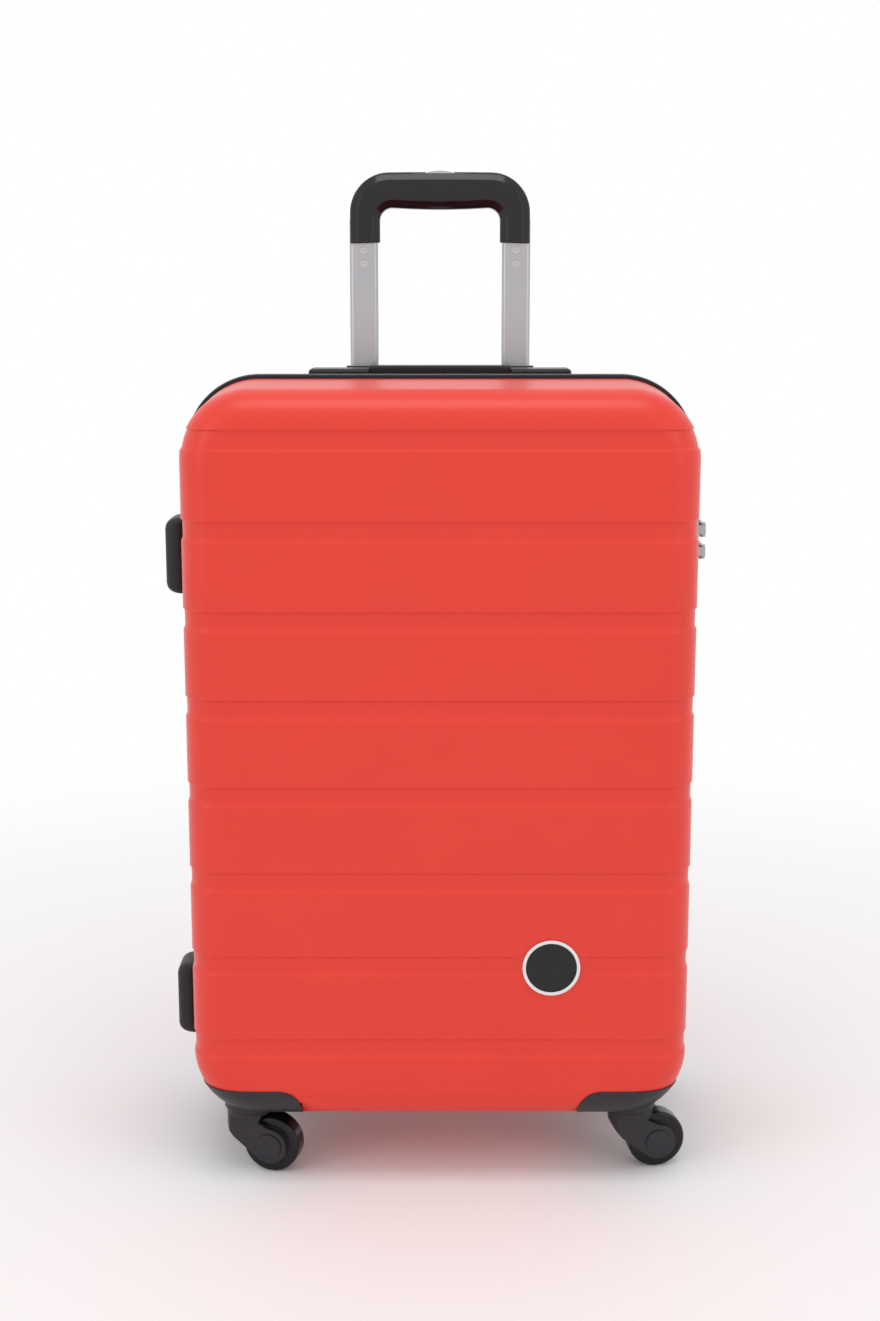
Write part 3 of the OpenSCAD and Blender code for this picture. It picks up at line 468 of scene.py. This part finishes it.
outer = archPoints(halfGrip, gripHigh.z, grip["outerRadius"], 12)
inner = archPoints(grip["innerHalf"], grip["barLow"], grip["innerRadius"], 12)
outer = [(x, z - 0.0008 * (x / halfGrip) ** 2) for x, z in outer]
points, faces = [], []
for (ox, oz), (ix, iz) in zip(outer, inner):
    if iz > grip["barLow"] - 0.0001:
        iz -= grip["sag"] * max(0, 1 - (ix / 0.042) ** 2)
    wide = math.hypot(ix - ox, iz - oz)
    fx, fz = (ix - ox) / wide, (iz - oz) / wide
    for along, deep in ((0, -1), (grip["bevelAcross"], -2), (wide - grip["bevelAcross"], -2), (wide, -1),
                        (wide, 1), (wide - grip["bevelAcross"], 2), (grip["bevelAcross"], 2), (0, 1)):
        y = halfDeep if abs(deep) == 2 else halfDeep - grip["bevelDeep"]
        points.append((ox + fx * along, middleY + math.copysign(y, deep), oz + fz * along))
rings = len(outer)
for k in range(rings - 1):
    for j in range(8):
        faces.append((k * 8 + j, k * 8 + (j + 1) % 8, (k + 1) * 8 + (j + 1) % 8, (k + 1) * 8 + j))
faces.append(tuple(range(8)))
faces.append(tuple((rings - 1) * 8 + j for j in range(8)))
gripPiece = newPiece("trolley_grip_moulded", points, faces, "handle_gloss", None, False)
apply(gripPiece, "BEVEL", width=0.0011, segments=3, limit_method="ANGLE", angle_limit=math.radians(20))


def carve(piece, made, center, scale):
    made()
    tool = bpy.context.object
    tool.location, tool.scale = center, scale
    bpy.ops.object.transform_apply(location=True, scale=True)
    apply(piece, "BOOLEAN", object=tool, operation="DIFFERENCE", solver="EXACT")
    bpy.data.objects.remove(tool)


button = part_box("release_button")
carve(gripPiece, lambda: bpy.ops.mesh.primitive_cube_add(size=1), ((button[0].x + button[1].x) / 2, middleY, 0.8445),
      (button[1].x - button[0].x + 0.0008, button[1].y - button[0].y + 0.0008, 0.031))
carve(gripPiece, lambda: bpy.ops.mesh.primitive_uv_sphere_add(segments=96, ring_count=48, radius=1),
      (0, gripLow.y - 0.0042, 0.8195), (0.036, 0.0088, 0.0088))
gripPiece.select_set(True)
bpy.context.view_layer.objects.active = gripPiece
bpy.ops.object.shade_smooth_by_angle(angle=math.radians(24))
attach(gripPiece, "inner_stage")
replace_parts(gripPiece, "trolley_grip")
springs = bpy.data.objects.new("button_springs_coiled", nodes["button_springs"].data.copy())
scene.collection.objects.link(springs)
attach(springs, "inner_stage")
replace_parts(springs, "button_springs")
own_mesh(springs)
print("grip made")


# ---- rounded edges on the moulded parts ----
def softened(node, width, segments=3):
    piece = bpy.data.objects.new(node + "_rounded", nodes[node].data.copy())
    scene.collection.objects.link(piece)
    made = bmesh.new()
    made.from_mesh(piece.data)
    bmesh.ops.remove_doubles(made, verts=made.verts, dist=0.00002)
    bmesh.ops.dissolve_limit(made, angle_limit=math.radians(2), verts=made.verts, edges=made.edges)
    rounding = made.edges.layers.float.new("bevel_weight_edge")
    lo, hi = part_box(node)
    for edge in made.edges:
        edge.smooth = True
        if len(edge.link_faces) == 2 and edge.is_convex and edge.calc_face_angle() > math.radians(40):
            middle = (edge.verts[0].co + edge.verts[1].co) / 2
            outside = sum(min(middle[k] - lo[k], hi[k] - middle[k]) < 0.0001 for k in range(3))
            edge[rounding] = 1 if outside > 1 else 0.25
    made.to_mesh(piece.data)
    made.free()
    for layer in [a.name for a in piece.data.attributes if a.name in ("sharp_face", "custom_normal")]:
        piece.data.attributes.remove(piece.data.attributes[layer])
    apply(piece, "BEVEL", width=width, segments=segments, limit_method="WEIGHT")
    apply(piece, "WEIGHTED_NORMAL", keep_sharp=False)
    piece.data.shade_smooth()
    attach(piece, nodes[node]["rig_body"])
    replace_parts(piece, node)
    return piece


for node, width in {"carry_handle_housing": 0.0032, "carry_handle_grip": 0.0022, "lock_body": 0.0014,
                    "lock_slide": 0.0007, "strap_buckle": 0.0022, "trolley_bezel": 0.003, "badge_ring": 0.0018,
                    "badge_face": 0.0012}.items():
    softened(node, width)
print("moulded edges rounded")


# ---- feet on the side, with well rounded ends ----
def sideFoot(name, node, low, high):
    lo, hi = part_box(node)
    curve = 0.0095
    points, faces = [], []
    steps = [0.0, 0.03, 0.1, 0.22, 0.4, 0.65, 1.0]
    lifts = [curve * f for f in steps]
    ends = [low + t for t in lifts] + [high - t for t in reversed(lifts)]
    for z in ends:
        t = min(z - low, high - z, curve)
        back = curve - math.sqrt(max(curve ** 2 - (curve - t) ** 2, 0))
        tip = lo.x + 0.00005 + back
        front, rear = lo.y + back * 0.55, hi.y - back * 0.55
        r = 0.007
        for cy, start in ((front + r, 270), (rear - r, 180)):
            for k in range(7):
                a = math.radians(start - 15 * k)
                points.append((tip + r + r * math.cos(a), cy + r * math.sin(a), z))
        points.append((-0.2085, rear, z))
        points.append((-0.2085, front, z))
    across = 16
    for k in range(len(ends) - 1):
        for j in range(across):
            faces.append((k * across + j, k * across + (j + 1) % across,
                          (k + 1) * across + (j + 1) % across, (k + 1) * across + j))
    faces.append(tuple(range(across)))
    faces.append(tuple((len(ends) - 1) * across + j for j in range(across)))
    return newPiece(name, points, faces, slotOf[node], "front_half")


for name, middle in (("upper_foot_pad", 0.533), ("lower_foot_pad", 0.1435)):
    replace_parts(sideFoot(name, "side_feet", middle - 0.032, middle + 0.032), "side_feet")

# ---- zip teeth and the cloth hinge ----
rimHalfX, rimHalfZ, rimCorner = shell["halfWidth"], shell["halfHeight"], shell["corner"]
straightX, straightZ = 2 * (rimHalfX - rimCorner), 2 * (rimHalfZ - rimCorner)
quarter = math.pi / 2 * rimCorner
rimLength = 2 * (straightX + straightZ) + 4 * quarter


def rimPoint(along, proud):
    along %= rimLength
    starts = ((0, 1, straightX), (1, 0, straightZ), (0, -1, straightX), (-1, 0, straightZ))
    corners = ((rimHalfX - rimCorner, rimHalfZ - rimCorner), (rimHalfX - rimCorner, -rimHalfZ + rimCorner),
               (-rimHalfX + rimCorner, -rimHalfZ + rimCorner), (-rimHalfX + rimCorner, rimHalfZ - rimCorner))
    for k, (nx, nz, length) in enumerate(starts):
        cx, cz = corners[k]
        if along <= length:
            back = length - along
            tx, tz = nz, -nx
            return (cx + nx * (rimCorner + proud) - tx * back, cz + nz * (rimCorner + proud) - tz * back, nx, nz)
        along -= length
        if along <= quarter:
            a = math.atan2(nz, nx) - along / rimCorner
            return (cx + math.cos(a) * (rimCorner + proud), cz + math.sin(a) * (rimCorner + proud), math.cos(a), math.sin(a))
        along -= quarter
    return rimPoint(0, proud)


teeth = {"pitch": 0.0026, "length": 0.0017, "inner": 0.00018, "outer": 0.0024, "low": 0.0008, "proud": 0.0034}


def zipTeeth(name, body, side, shift):
    points, faces = [], []
    count = int(rimLength / teeth["pitch"])
    for k in range(count):
        middle = (k + shift) * rimLength / count
        base = len(points)
        for proud, shrink in ((teeth["low"], 1), (teeth["proud"] - 0.0006, 1), (teeth["proud"], 0.62)):
            for along in (-1, 1):
                x, z, _, _ = rimPoint(middle + along * shrink * teeth["length"] / 2, proud)
                for y in (teeth["inner"], teeth["outer"] - (1 - shrink) * 0.001):
                    points.append((x, side * y, z + shell["middle"]))
        for low in (base, base + 4):
            faces += [(low, low + 1, low + 5, low + 4), (low + 1, low + 3, low + 7, low + 5),
                      (low + 3, low + 2, low + 6, low + 7), (low + 2, low, low + 4, low + 6)]
        faces.append((base + 8, base + 9, base + 11, base + 10))
        faces.append((base, base + 1, base + 3, base + 2))
    return newPiece(name, points, faces, "zip_teeth_grey", body, False)


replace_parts(zipTeeth("front_zip_coil", "front_half", -1, 0), "front_zip_teeth")
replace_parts(zipTeeth("back_zip_coil", "back_half", 1, 0.5), "back_zip_teeth")

hinge = {"low": 0.115, "high": 0.616, "half": 0.0088, "out": 0.2186}
points, faces = [], []
up, curve = 160, 10
for k in range(up + 1):
    z = hinge["low"] + (hinge["high"] - hinge["low"]) * k / up
    for j in range(curve + 1):
        y = hinge["half"] * (2 * j / curve - 1)
        pucker = 0.00025 * noise.noise(Vector((y * 160, z * 55, 3.1))) * (1 - abs(y) / hinge["half"])
        x = -hinge["out"] + 0.0014 * (y / hinge["half"]) ** 4 + pucker
        points.append((x, y, z))
for k in range(up):
    for j in range(curve):
        a = k * (curve + 1) + j
        faces.append((a, a + 1, a + curve + 2, a + curve + 1))
hingeStrip = newPiece("cloth_hinge", points, faces, "zip_tape_black", None)
apply(hingeStrip, "SOLIDIFY", thickness=0.0006, offset=0)
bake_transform(hingeStrip, "back_half", "front_half", start=(-0.218, 0.0035, 0.36), end=(-0.218, -0.0035, 0.36))
print("zip and hinge made")
